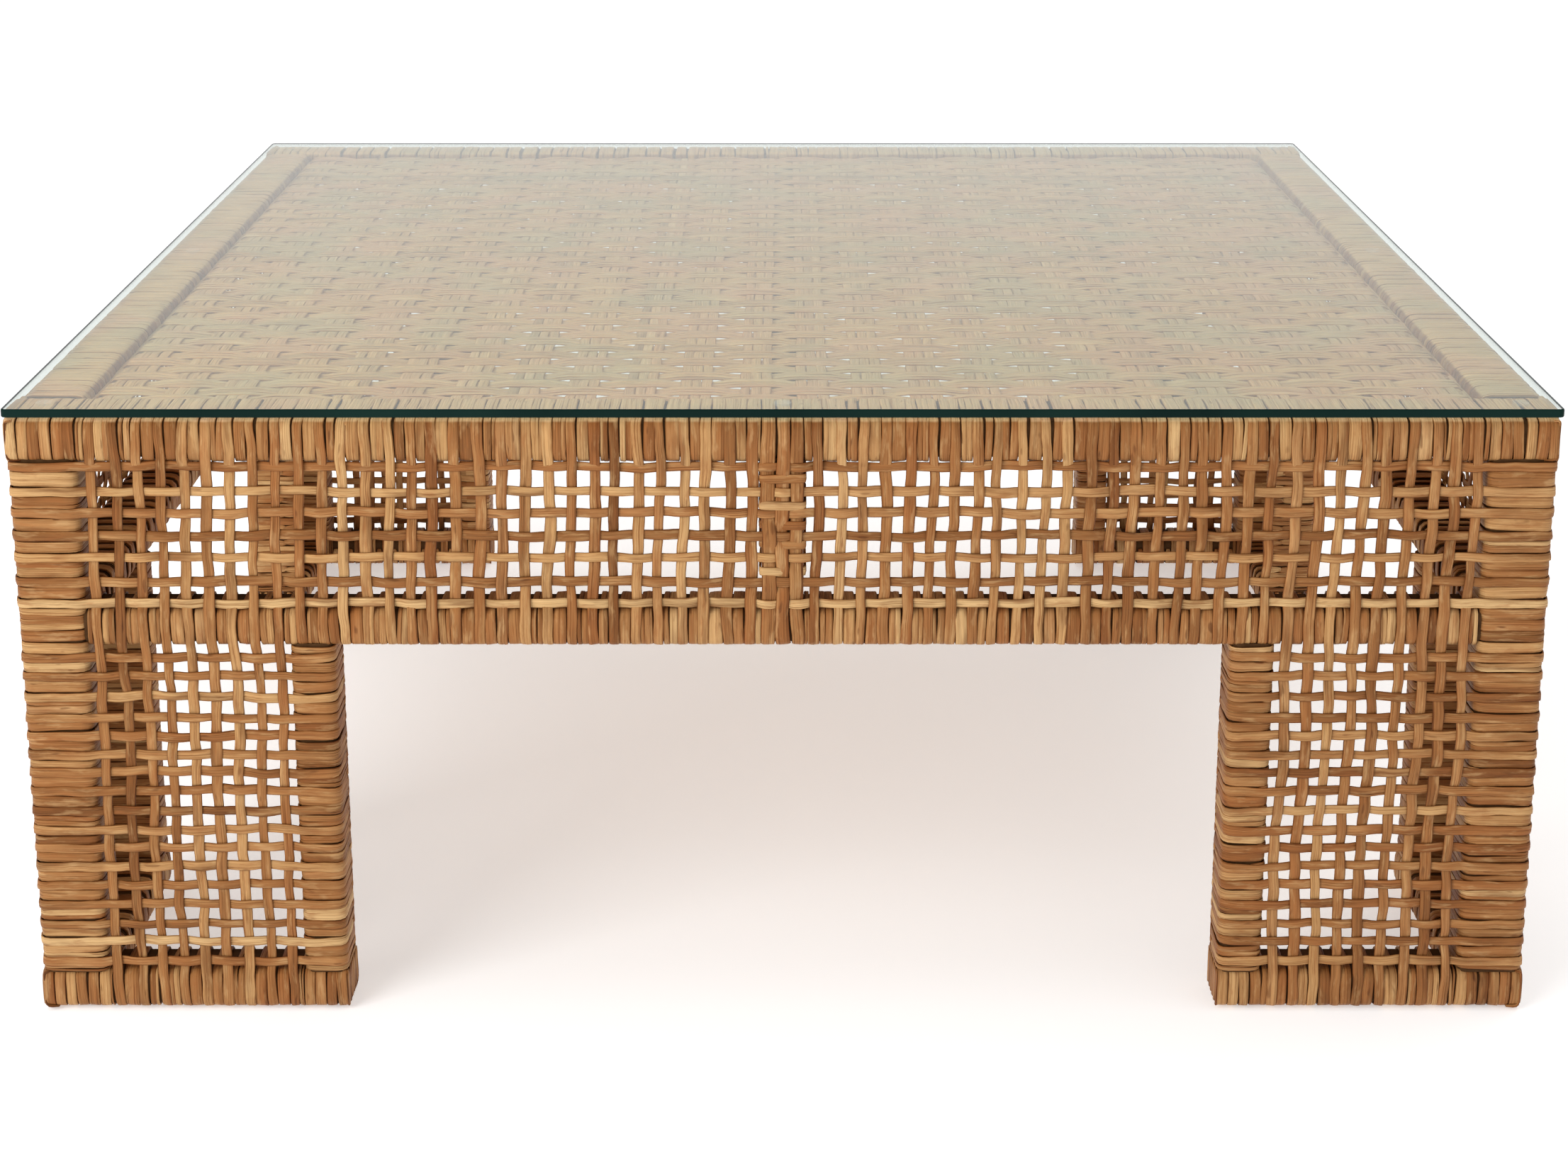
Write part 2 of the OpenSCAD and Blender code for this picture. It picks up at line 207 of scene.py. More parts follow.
class Cane:
    """Strands gathered into one mesh, with what the material needs to know of each point."""

    def __init__(self, name, rng, turn=0.0):
        self.name, self.rng = name, rng
        self.aim(turn)
        self.co, self.loops, self.starts, self.size = [], [], [], 0
        self.n_loops = 0
        self.values = {"strand": [], "tone": [], "along": [], "across": []}

    def aim(self, turn):
        """Turns what is added from now on by this angle about the middle of the table."""
        self.cos, self.sin = math.cos(turn), math.sin(turn)

    def strand(self, path, face, width, thick, closed=False, small=False, tone=None, roll=0.09,
               drift=0.0003, vary=0.04):
        """A flat strand along path (n, 3), its broad side turned to face (n, 3).

        roll is how far it twists, drift how far it strays sideways, vary the spread of its
        width, and tone its colour, from 0 dark to 1 pale, or None for one at random."""
        rng = self.rng
        u, v = (SMALL_U, SMALL_V) if small else (SECTION_U, SECTION_V)
        t = np.roll(path, -1, 0) - np.roll(path, 1, 0) if closed else np.gradient(path, axis=0)
        if closed:
            path, face, t = (np.concatenate([a, a[:1]]) for a in (path, face, t))
        n, m = len(path), len(u)
        t = unit(t)
        side = unit(np.cross(t, face))
        up = np.cross(side, t)
        s = lengths(path)
        loop = s[-1] if closed else None
        half_w = width / 2 * (1 + Wobble(rng, *WIDTH_WAVE, loop)(s))
        half_w = half_w * rng.uniform(1 - vary, 1 + vary)
        half_t = thick / 2 * (1 + Wobble(rng, *THICK_WAVE, loop)(s))
        a = Wobble(rng, roll, ROLL_WAVE, loop)(s)[:, None]
        side, up = side * np.cos(a) + up * np.sin(a), up * np.cos(a) - side * np.sin(a)
        mid = path + side * Wobble(rng, drift, DRIFT_WAVE, loop)(s)[:, None]
        if not closed:
            half_w[[0, -1]] *= END_TAPER[0]
            half_w[[1, -2]] *= END_TAPER[1]
        ridge = v * np.where(v > RIDGED, 1 + RIDGE * rng.standard_normal(m).clip(-1.5, 1.5), 1)
        ring = (mid[:, None] + side[:, None] * (half_w[:, None] * u)[..., None]
                + up[:, None] * (half_t[:, None] * ridge)[..., None])
        co = ring.reshape(-1, 3)
        self.co.append(np.stack([co[:, 0] * self.cos - co[:, 1] * self.sin,
                                 co[:, 0] * self.sin + co[:, 1] * self.cos, co[:, 2]], 1))
        i, j = np.arange(n - 1)[:, None] * m, np.arange(m)[None, :]
        j2 = (j + 1) % m
        quads = np.stack([i + j, i + j2, i + m + j2, i + m + j], -1).reshape(-1)
        self.loops.append(quads + self.size)
        self.starts.append(self.n_loops + 4 * np.arange(len(quads) // 4))
        self.n_loops += len(quads)
        if not closed:
            for cap in (np.arange(m)[::-1], np.arange(m) + (n - 1) * m):
                self.loops.append(cap + self.size)
                self.starts.append(np.array([self.n_loops]))
                self.n_loops += m
        self.size += n * m
        self.values["strand"].append(np.full(n * m, rng.uniform(0, 1)))
        self.values["tone"].append(np.full(n * m, rng.uniform(0, 1) if tone is None else tone))
        self.values["along"].append(np.repeat(s + rng.uniform(0, 50), m))
        self.values["across"].append(np.tile(u, n))

    def ring(self, outline, place, width, thick, **kw):
        """A strand wound once round outline, a closed 2D line; place makes 3D of 2D."""
        face = left_of(outline, True)
        path = place(outline)
        self.strand(path, place(outline + face) - path, width, thick, closed=True, **kw)

    def finish(self, material, nodes):
        """Makes the mesh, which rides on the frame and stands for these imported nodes."""
        mesh = bpy.data.meshes.new(self.name)
        co = np.concatenate(self.co).astype(np.float32)
        loops = np.concatenate(self.loops).astype(np.int32)
        starts = np.concatenate(self.starts).astype(np.int32)
        mesh.vertices.add(len(co))
        mesh.vertices.foreach_set("co", co.ravel())
        mesh.loops.add(len(loops))
        mesh.loops.foreach_set("vertex_index", loops)
        mesh.polygons.add(len(starts))
        mesh.polygons.foreach_set("loop_start", starts)
        mesh.polygons.foreach_set("use_smooth", np.ones(len(starts), bool))
        mesh.update(calc_edges=True)
        for key, parts in self.values.items():
            layer = mesh.attributes.new(key, "FLOAT", "POINT")
            layer.data.foreach_set("value", np.concatenate(parts).astype(np.float32))
        mesh.materials.append(material)
        obj = bpy.data.objects.new(self.name, mesh)
        bpy.context.scene.collection.objects.link(obj)
        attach(obj, "base")
        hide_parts(*nodes)


# ---- material nodes ----

def new_material(name):
    """A material with a Principled shader, which is returned too."""
    mat = bpy.data.materials.new(name)
    mat.use_nodes = True
    nodes = mat.node_tree.nodes
    nodes.clear()
    out = nodes.new("ShaderNodeOutputMaterial")
    shader = nodes.new("ShaderNodeBsdfPrincipled")
    mat.node_tree.links.new(shader.outputs[0], out.inputs[0])
    return mat, mat.node_tree, shader


def add(tree, kind, inputs=None, **props):
    """A node; inputs holds values, or sockets to link, by name or number."""
    node = tree.nodes.new(kind)
    for key, value in props.items():
        setattr(node, key, value)
    for key, value in (inputs or {}).items():
        if isinstance(value, bpy.types.NodeSocket):
            tree.links.new(value, node.inputs[key])
        else:
            node.inputs[key].default_value = value
    return node


def math_node(tree, op, a, b=0.0, clamp=False):
    return add(tree, "ShaderNodeMath", {0: a, 1: b}, operation=op, use_clamp=clamp).outputs[0]


def mix(tree, mode, share, a, b):
    node = add(tree, "ShaderNodeMix", data_type="RGBA", blend_type=mode)
    for key, value in ((0, share), (6, a), (7, b)):
        if isinstance(value, bpy.types.NodeSocket):
            tree.links.new(value, node.inputs[key])
        elif key == 0:
            node.inputs[key].default_value = value
        else:
            node.inputs[key].default_value = (*value, 1)
    return node.outputs[2]


def ramp(tree, value, stops):
    """Colours or greys at places from 0 to 1, blended between them."""
    node = add(tree, "ShaderNodeValToRGB", {0: value})
    elements = node.color_ramp.elements
    while len(elements) < len(stops):
        elements.new(0.5)
    for e, (at, colour) in zip(elements, stops):
        e.position = at
        e.color = (*colour, 1) if isinstance(colour, tuple) else (colour,) * 3 + (1,)
    return node.outputs[0]


def attribute(tree, name):
    """What Cane stored under this name for each point."""
    return add(tree, "ShaderNodeAttribute", attribute_name=name).outputs["Fac"]


def noise(tree, place, scale, detail=2.0, rough=0.5):
    return add(tree, "ShaderNodeTexNoise", {"Vector": place, "Scale": scale, "Detail": detail,
                                            "Roughness": rough}).outputs["Fac"]


def vector(tree, x, y, z):
    return add(tree, "ShaderNodeCombineXYZ", {0: x, 1: y, 2: z}).outputs[0]


def sunned(tree, base, share):
    """Painted light: the cane made paler, in grey green and pinkish patches, as if lit more from
    above.
    """
    place = add(tree, "ShaderNodeTexCoord").outputs["Object"]
    cool, warm = noise(tree, place, 9.0, 3.0), noise(tree, place, 14.0, 3.0)
    cool_share = ramp(tree, cool, [(0.40, 0.45), (0.52, 0.0)])
    warm_share = ramp(tree, warm, [(0.50, 0.0), (0.62, 0.50)])
    paler = mix(tree, "MIX", cool_share, base, (0.60, 0.50, 0.29))
    paler = mix(tree, "MIX", warm_share, paler, (0.84, 0.45, 0.26))
    return mix(tree, "MIX", share, base, paler)


def cane_material(name, straw, pale, mid, dark, red, spots=0.5, lines=1.0, painted_light_from=None):
    """Flat cane: tones strand by strand, fine fibre lines, patches, dark nodes, and painted shade
    along the edges where strands meet.

    spots is how dark the nodes are, and lines how strongly fibres and the painted edge shade show.
    From the height in the last argument upwards the cane is painted paler, painted light from
    above; where that argument is None the painted light covers all of it."""
    mat, tree, shader = new_material(name)
    strand, tone = attribute(tree, "strand"), attribute(tree, "tone")
    along, across = attribute(tree, "along"), attribute(tree, "across")
    shift = math_node(tree, "MULTIPLY", strand, 61.0)

    def streaks(per_metre, over, detail, rough=0.55):
        """Noise drawn out along the strand: per_metre changes a metre, over across it."""
        place = vector(tree, math_node(tree, "MULTIPLY", along, per_metre),
                       math_node(tree, "MULTIPLY", across, over), shift)
        return noise(tree, place, 1.0, detail, rough)

    # the strand's own tone, with some strands redder
    base = ramp(tree, tone, [(0.0, dark), (0.20, mid), (0.52, mid), (0.84, pale), (1.0, straw)])
    base = mix(tree, "MIX", ramp(tree, strand, [(0.0, 0.0), (0.55, 0.0), (0.95, 0.6)]), base, red)
    # long and short patches along it
    patch, small = streaks(11.0, 0.3, 3.0, 0.6), streaks(48.0, 0.8, 3.0, 0.6)
    base = mix(tree, "MIX", ramp(tree, patch, [(0.34, 0.65), (0.49, 0.0)]), base, dark)
    base = mix(tree, "MIX", ramp(tree, patch, [(0.52, 0.0), (0.68, 0.55)]), base, pale)
    base = mix(tree, "MIX", ramp(tree, small, [(0.34, 0.42), (0.47, 0.0)]), base, red)
    base = mix(tree, "MIX", ramp(tree, small, [(0.54, 0.0), (0.68, 0.35)]), base, straw)
    fibre, fine = streaks(13.0, 4.6, 4.0, 0.65), streaks(38.0, 14.0, 2.0)
    # painted light: paler cane on top, from the given height upwards, or all over the field
    if painted_light_from is None:
        base = sunned(tree, base, 1.0)
    else:
        coords = add(tree, "ShaderNodeTexCoord").outputs["Object"]
        z = add(tree, "ShaderNodeSeparateXYZ", {0: coords}).outputs[2]
        above = math_node(tree, "SUBTRACT", z, painted_light_from)
        # painted light: above that height the cane is mixed towards pale straw and paler patches
        high = math_node(tree, "MULTIPLY", above, 700.0, True)
        base = sunned(tree, mix(tree, "MIX", high, base, (0.80, 0.51, 0.25)), high)
    # fibres, nodes, and painted shade at the strands' edges
    base = mix(tree, "MULTIPLY", lines, base, ramp(tree, fibre, [
        (0.34, (0.58, 0.47, 0.36)), (0.47, (0.94, 0.92, 0.89)), (0.66, (1.14, 1.14, 1.14))]))
    base = mix(tree, "MULTIPLY", lines, base, ramp(tree, fine, [(0.30, 0.78), (0.62, 1.07)]))
    knot = streaks(58.0, 0.9, 1.0)
    base = mix(tree, "MULTIPLY", ramp(tree, knot, [(0.69, 0.0), (0.76, spots)]), base,
               (0.34, 0.24, 0.17))
    # painted shade: each strand darkens towards its edges, for the shade in the creases where
    # strands meet
    edge = ramp(tree, math_node(tree, "ABSOLUTE", across), [
        (0.79, (1.0, 1.0, 1.0)), (0.95, (0.70, 0.58, 0.46)), (1.0, (0.26, 0.145, 0.07))])
    base = mix(tree, "MULTIPLY", lines, base, edge)
    tree.links.new(base, shader.inputs["Base Color"])
    tree.links.new(ramp(tree, fibre, [(0.3, 0.62), (0.7, 0.44)]), shader.inputs["Roughness"])
    shader.inputs["Specular IOR Level"].default_value = 0.18
    height = mix(tree, "MIX", 0.45, fibre, fine)
    bump = add(tree, "ShaderNodeBump", {"Height": height, "Strength": 0.8, "Distance": 0.0004})
    tree.links.new(bump.outputs[0], shader.inputs["Normal"])
    return mat


def timber_material(name, pale, dark, axis):
    """Sawn wood with its grain along one axis."""
    mat, tree, shader = new_material(name)
    coords = add(tree, "ShaderNodeTexCoord").outputs["Object"]
    stretch = [60.0, 60.0, 60.0]
    stretch[axis] = 4.0
    place = add(tree, "ShaderNodeMapping", {"Vector": coords, "Scale": stretch}).outputs[0]
    grain = noise(tree, place, 1.0, 4.0, 0.6)
    base = ramp(tree, grain, [(0.32, dark), (0.62, pale)])
    tree.links.new(base, shader.inputs["Base Color"])
    shader.inputs["Roughness"].default_value = 0.8
    shader.inputs["Specular IOR Level"].default_value = 0.12
    bump = add(tree, "ShaderNodeBump", {"Height": grain, "Strength": 0.4, "Distance": 0.0005})
    tree.links.new(bump.outputs[0], shader.inputs["Normal"])
    return mat


def glass_material():
    """Clear glass that lets lamps through to what it covers."""
    mat, tree, shader = new_material("glass_clear")
    shader.inputs["Base Color"].default_value = (0.91, 0.975, 0.93, 1)
    shader.inputs["Roughness"].default_value = 0.0
    shader.inputs["Transmission Weight"].default_value = 1.0
    shader.inputs["IOR"].default_value = 1.52
    lamps = add(tree, "ShaderNodeBsdfTransparent", {"Color": (0.90, 0.94, 0.92, 1)})
    is_shadow = add(tree, "ShaderNodeLightPath").outputs["Is Shadow Ray"]
    both = add(tree, "ShaderNodeMixShader", {0: is_shadow, 1: shader.outputs[0],
                                             2: lamps.outputs[0]})
    out = next(n for n in tree.nodes if n.type == "OUTPUT_MATERIAL")
    tree.links.new(both.outputs[0], out.inputs[0])
    return mat


def glass_edge_material():
    """The polished edge, where the glass is seen through its width and looks dark green."""
    mat, tree, shader = new_material("glass_edge")
    coords = add(tree, "ShaderNodeTexCoord").outputs["Object"]
    slow = noise(tree, coords, 9.0, 2.0)
    base = ramp(tree, slow, [(0.35, (0.003, 0.013, 0.011)), (0.65, (0.006, 0.022, 0.018))])
    tree.links.new(base, shader.inputs["Base Color"])
    shader.inputs["Roughness"].default_value = 0.25
    shader.inputs["Specular IOR Level"].default_value = 0.04
    return mat


def plastic_material(name, low, high, rough, alpha=1.0):
    """Moulded plastic, mottled a little between two colours."""
    mat, tree, shader = new_material(name)
    coords = add(tree, "ShaderNodeTexCoord").outputs["Object"]
    base = ramp(tree, noise(tree, coords, 300.0, 3.0), [(0.35, low), (0.65, high)])
    tree.links.new(base, shader.inputs["Base Color"])
    shader.inputs["Roughness"].default_value = rough
    shader.inputs["Alpha"].default_value = alpha
    return mat


# ---- where the strands lie ----

PITCH = (POST_IN - STILE) / STAKES


class Stake:
    """An upright strand, d from the middle of its side, that drifts a little with height."""

    def __init__(self, rng, index, d, drift=None):
        self.index, self.d = index, d
        self.drifts = [Wobble(rng, *STAKE_DRIFT)] + ([drift] if drift else [])

    def at(self, z):
        return self.d + sum(w(z) for w in self.drifts)


class Row:
    """A level strand round a corner, z high, that drifts a little along both its faces."""

    def __init__(self, rng, index, z):
        self.index, self.z = index, z
        self.wobbles = [Wobble(rng, *ROW_DRIFT), Wobble(rng, *ROW_DRIFT)]

    def at(self, face, d):
        d = np.abs(np.asarray(d))
        ease = 0.03
        free = np.clip((POST_IN - d) / ease, 0, 1) * np.clip((d - STILE) / ease, 0, 1)
        return self.z + self.wobbles[face](d) * free


def stakes_of(side, bay):
    """The stakes of one bay, numbered from the stile to the corner post."""
    rng = rng_for("stakes", side, bay)
    shared = Wobble(rng, *BAY_DRIFT)
    return [Stake(rng, i, STILE + (i + 0.5) * PITCH + rng.normal(0, STAKE_PLACE), shared)
            for i in range(STAKES)]


def row_levels():
    """Heights of the apron's rows and the leg's, from the top, alike all round the table."""
    rng = rng_for("levels")
    high = np.linspace(TOP_RAIL_Z - 0.0032, APRON_TOP_Z + 0.003, APRON_ROWS)
    low = np.linspace(APRON_Z - 0.008, FOOT_TOP + 0.0075, LEG_ROWS)
    return ([z + rng.normal(0, APRON_ROW_PLACE) for z in high],
            [z + rng.normal(0, LEG_ROW_PLACE) for z in low])


def rows_of(corner):
    """The apron's rows and then the leg's, numbered from the top so that they alternate."""
    rng = rng_for("rows", corner)
    high, low = LEVELS
    return ([Row(rng, j, z) for j, z in enumerate(high)],
            [Row(rng, j + APRON_ROWS, z) for j, z in enumerate(low)])


LEVELS = row_levels()
BAYS = {(side, bay): stakes_of(side, bay) for side in SIDES for bay in (0, 1)}
ROWS = {corner: rows_of(corner) for corner in CORNERS}


def corner_beside(side, bay):
    """The corner that a side's bay runs up to: bay 0 lies on its left, seen from outside."""
    k = SIDES.index(side)
    return CORNERS[k if bay == 0 else (k + 1) % 4]


def bay_beside(corner, face):
    """The side and bay on one of a corner's faces, seen as for the front left one."""
    k = CORNERS.index(corner)
    return (SIDES[k], 0) if face == 0 else (SIDES[(k + 3) % 4], 1)


def swing(phase, index):
    """Over and under: 1 where phase + index is even, -1 where it's odd, smooth between."""
    c = np.cos(math.pi * (phase + index))
    return np.sign(c) * np.abs(c) ** 0.8


def window(x, low, high, blend=0.004):
    """1 inside low..high and 0 outside, smooth at both ends."""
    a = np.clip((x - low) / blend, 0, 1)
    b = np.clip((high - x) / blend, 0, 1)
    a, b = a * a * (3 - 2 * a), b * b * (3 - 2 * b)
    return a * b


# ---- stakes: upright strands of one side, from the top rail down ----

def stake_route(leg, plane):
    """Outline (n, z) of a stake: round the top rail, down the panel and round a lower rail."""
    t = TIGHT
    pts = [(RAIL_IN + t, TOP_RAIL_Z + 0.006), (RAIL_IN + t, FRAME_TOP - t),
           (OVER_N, FRAME_TOP - t), (OVER_N, TOP_RAIL_Z + 0.001),
           (plane, TOP_RAIL_Z - 0.007), (plane, APRON_TOP_Z + 0.006),
           (OVER_N, APRON_TOP_Z - 0.003)]
    if leg:
        pts += [(OVER_N, APRON_Z + 0.002), (plane, APRON_Z - 0.006),
                (plane, FOOT_TOP + 0.005), (OVER_N, FOOT_TOP - 0.003)]
    low = FOOT_Z if leg else APRON_Z
    pts += [(OVER_N, low + t), (RAIL_IN + t, low + t), (RAIL_IN + t, low + 0.018)]
    radii = [WOVEN_BEND] * (len(pts) - 2)
    radii[:2] = radii[-2:] = [EDGE_R, EDGE_R]
    return route(pts, radii, STEP)


def stake_strand(cane, side, bay, stake, width, plane=WEAVE_N):
    """One stake, passing over and under the rows that it meets."""
    sign = -1 if bay == 0 else 1
    leg = stake.d > END_OUT
    line = stake_route(leg, plane)
    rows = panel_rows(side, bay, leg)
    heights = np.array([float(r.at(bay, stake.d)) for r in rows])
    order = np.argsort(heights)
    phase = np.interp(line[:, 1], heights[order], np.array([r.index for r in rows])[order])
    open_z = (window(line[:, 1], APRON_TOP_Z - 0.002, TOP_RAIL_Z + 0.001)
              + window(line[:, 1], FOOT_TOP - 0.002, APRON_Z + 0.001))
    outside = line[:, 0] > (HALF + RAIL_IN) / 2
    out = left_of(line)
    line = line + out * (SWING * swing(phase, stake.index) * open_z * outside)[:, None]
    x = sign * stake.at(line[:, 1])
    path = np.stack([x, -line[:, 0], line[:, 1]], 1)
    face = np.stack([np.zeros(len(x)), -out[:, 0], out[:, 1]], 1)
    cane.strand(path, face, width, STAKE_T, drift=0.0004, roll=0.12, vary=0.10)


def panel_rows(side, bay, leg):
    """The rows that a stake of this bay crosses; one over a leg crosses the leg's rows too."""
    rows, leg_rows = ROWS[corner_beside(side, bay)]
    return rows + leg_rows if leg else rows


def make_stakes(side, turn, material):
    """One side's stakes, and the strands over its centre stile."""
    cane = Cane(f"cane_stakes_{side}", rng_for("stake_mesh", side), turn)
    for bay in (0, 1):
        for stake in BAYS[side, bay]:
            stake_strand(cane, side, bay, stake, STAKE_W)
    w = 2 * STILE / STILE_STRANDS
    for k in range(STILE_STRANDS):
        strand = Stake(cane.rng, -1 - k, STILE - (k + 0.5) * w)
        stake_strand(cane, side, 1, strand, w, STILE_N)
    stile_sides(cane)
    stile_bands(cane)
    cane.finish(material, [f"apron_weave_{side}"])


def stile_sides(cane):
    """Upright strands that cover the stile's two sides and its back."""
    n = 16
    z = np.linspace(TOP_RAIL_Z, APRON_TOP_Z, n)
    flat = np.ones(n)
    count = 5
    w = (HALF - RAIL_IN) / count
    for k in range(count):
        for sign in (-1, 1):
            y = -flat * (RAIL_IN + (k + 0.5) * w)
            path = np.stack([flat * sign * (STILE - TIGHT), y, z], 1)
            cane.strand(path, np.tile([sign, 0.0, 0.0], (n, 1)), w * 0.97, WRAP_T)
    w = 2 * STILE / STILE_STRANDS
    for k in range(STILE_STRANDS):
        path = np.stack([flat * ((k + 0.5) * w - STILE), -flat * (RAIL_IN + TIGHT), z], 1)
        cane.strand(path, np.tile([0.0, 1.0, 0.0], (n, 1)), w * 0.95, WRAP_T)


def stile_bands(cane):
    """Short windings round the stile: two whole ones near the top, then some that tuck in."""
    rng = cane.rng
    lift, front_lift, bend, tuck_depth = 0.0010, 0.0004, 0.003, 0.0024
    outline = box_outline(-STILE - lift, STILE + lift, RAIL_IN - lift, HALF + front_lift, bend, bend)
    high = LEVELS[0]
    for gap, tuck in ((0, 0), (1, 0), (2, 1), (3, 1), (4, -1)):
        level = (high[gap] + high[gap + 1]) / 2 + rng.normal(0, BAND_PLACE)
        lean = rng.normal(0, BAND_LEAN)
        under = np.clip(-tuck * outline[:, 0] / 0.003 + 0.5, 0, 1) if tuck else 0 * outline[:, 0]
        front = outline[:, 1] > (HALF + RAIL_IN) / 2
        line = outline - np.stack([0 * under, tuck_depth * under * front], 1)
        cane.ring(line, lambda p, a=lean, b=level: np.stack(
            [p[:, 0], -p[:, 1], b + a * p[:, 0]], 1), ROW_W * 0.95, WRAP_T)


# ---- windings round rails and posts ----

def box_outline(a0, a1, b0, b1, step=WRAP_STEP, radius=EDGE_R):
    """Closed clockwise outline of a rounded box, that starts in the middle of its b0 side."""
    mid = (a0 + a1) / 2
    corners = [(mid, b0), (a0, b0), (a0, b1), (a1, b1), (a1, b0), (mid, b0)]
    return route(corners, [radius] * 4, step)[:-1]


def round_rail(z_low, z_high):
    """Outline (n, z) of a winding round a rail."""
    t = TIGHT
    return box_outline(RAIL_IN + t, HALF - t, z_low + t, z_high - t)


def wind_rail(cane, outline, places, rng):
    """A winding at each (place, width) along a rail that runs in x."""
    for x, w in places:
        lean = rng.normal(0, RAIL_LEAN)
        push = rng.uniform(-0.0001, 0.0003)
        centre = outline.mean(0)
        grown = outline + unit(outline - centre) * push
        cane.ring(grown, lambda p, a=lean, b=x, c=centre: np.stack(
            [b + a * (p[:, 1] - c[1]) + a * 0.4 * (p[:, 0] - c[0]), -p[:, 0], p[:, 1]], 1),
            w, WRAP_T, small=True, drift=0.0004, roll=0.07)


def parted(rng, middle, free):
    """Middle and width of the one winding that fills a gap, or of two unlike ones."""
    if rng.uniform() < ONE_IN_GAP:
        return [(middle, free * 1.04)]
    share = rng.uniform(0.30, 0.70)
    return [(middle - free * (1 - share) / 2, free * share * 1.06),
            (middle + free * share / 2, free * (1 - share) * 1.06)]


def between(rng, stakes, low, high, z):
    """Middle and width of each winding in the gaps that stakes leave along low..high."""
    xs = [float(s.at(z)) for s in stakes if low < s.d < high]
    gaps = []
    edges = [low - STAKE_W / 2 + 0.0005] + xs + [high + STAKE_W / 2 - 0.0005]
    for a, b in zip(edges, edges[1:]):
        free = b - a - STAKE_W
        if free > MIN_GAP:
            gaps += parted(rng, (a + b) / 2, free)
    return gaps


def spread(low, high, count):
    """Middle and width of each of count even windings along low..high."""
    pitch = (high - low) / count
    return [(low + (k + 0.5) * pitch, pitch * 0.97) for k in range(count)]


def make_rail_wraps(side, turn, material):
    """Windings of one side's top rail and apron rail, between the stakes that cross them."""
    rng = rng_for("rail_wraps", side)
    cane = Cane(f"rail_wraps_{side}", rng, turn)
    top, low = round_rail(TOP_RAIL_Z - 0.0012, FRAME_TOP), round_rail(APRON_Z, APRON_TOP_Z)
    for bay in (0, 1):
        sign = -1 if bay == 0 else 1
        stakes = BAYS[side, bay]
        gaps = between(rng, stakes, STILE, POST_IN, TOP_RAIL_Z)
        wind_rail(cane, top, [(sign * x, w) for x, w in gaps], rng)
        gaps = between(rng, stakes, STILE, POST_IN, APRON_Z)
        wind_rail(cane, low, [(sign * x, w) for x, w in gaps], rng)
        corner = spread(POST_IN, HALF + 0.0002, POST_WINDINGS)
        if side in LONG_SIDES:
            wind_rail(cane, top, [(sign * x, w) for x, w in corner], rng)
        else:
            end_strips(cane, [(sign * x, w) for x, w in corner], TOP_RAIL_Z, FRAME_TOP)
    cane.finish(material, [f"rail_binding_{side}"])


def end_strips(cane, places, z_low, z_high):
    """Short upright strands over the end of a rail that shows on this side."""
    for x, w in places:
        n, top = HALF - TIGHT, z_high - 0.0012
        line = route([(n - 0.004, top), (n, top), (n, z_low + TIGHT), (n - 0.009, z_low + TIGHT)],
                     [0.003, EDGE_R], STEP)
        out = left_of(line)
        xs = np.full(len(line), x)
        cane.strand(np.stack([xs, -line[:, 0], line[:, 1]], 1),
                    np.stack([0 * xs, -out[:, 0], out[:, 1]], 1), w, WRAP_T)


def post_place(level, lean):
    """Puts an outline in plan at a height, leaning a little across the corner."""
    def place(p):
        across = p[:, 0] - p[:, 1]
        return np.stack([p[:, 0], p[:, 1], level + lean * (across - across.mean())], 1)
    return place


def filler_levels(rng, rows, gap_top, gap_low):
    """Middle and width of each winding between rows, from gap_top down to gap_low."""
    edges = [gap_top + ROW_W / 2] + [r.z for r in rows] + [gap_low - ROW_W / 2]
    out = []
    for a, b in zip(edges, edges[1:]):
        free = a - b - ROW_W
        if free > MIN_POST_GAP:
            n = max(1, round(free / POST_WRAP_W))
            for k in range(n):
                out += parted(rng, a - ROW_W / 2 - free * (k + 0.5) / n, free / n)
    return out


def make_post_wraps(corner, turn, material):
    """Windings of a leg, drawn for the front left one: corner post, end posts, foot rails."""
    rng = rng_for("post_wraps", corner)
    cane = Cane(f"post_wraps_{corner}", rng, turn)
    rows, leg_rows = ROWS[corner]
    t = TIGHT
    post = box_outline(-POST_IN - t, -HALF + t, -POST_IN - t, -HALF + t)
    for z, w in filler_levels(rng, rows + leg_rows, TOP_RAIL_Z, FOOT_TOP):
        cane.ring(post, post_place(z, rng.normal(0, POST_LEAN)), w, WRAP_T, small=True, roll=0.08,
                  drift=0.0006)
    inner = route([(-HALF + t, -POST_IN - 0.012), (-HALF + t, -POST_IN - t),
                   (-POST_IN - t, -POST_IN - t), (-POST_IN - t, -HALF + t),
                   (-POST_IN - 0.012, -HALF + t)], [EDGE_R] * 3, WRAP_STEP)
    for row in rows + leg_rows:                           # each row goes on round the inside
        part_ring(cane, inner, row.z, ROW_W)
    for face in (0, 1):
        make_end_post(cane, rng, face, leg_rows)
        make_foot(cane, rng, face, corner)
    cane.finish(material, [f"leg_binding_{corner}"])


def part_ring(cane, line, z, width, flip=False):
    """A level strand along line, part of the way round a post; flip swaps x and y."""
    out = left_of(line)
    level = np.full(len(line), z)
    path = np.stack([line[:, 0], line[:, 1], level], 1)
    face = np.stack([out[:, 0], out[:, 1], 0 * level], 1)
    if flip:
        path, face = path[::-1][:, [1, 0, 2]], face[::-1][:, [1, 0, 2]]
    cane.strand(path, face, width, WRAP_T)


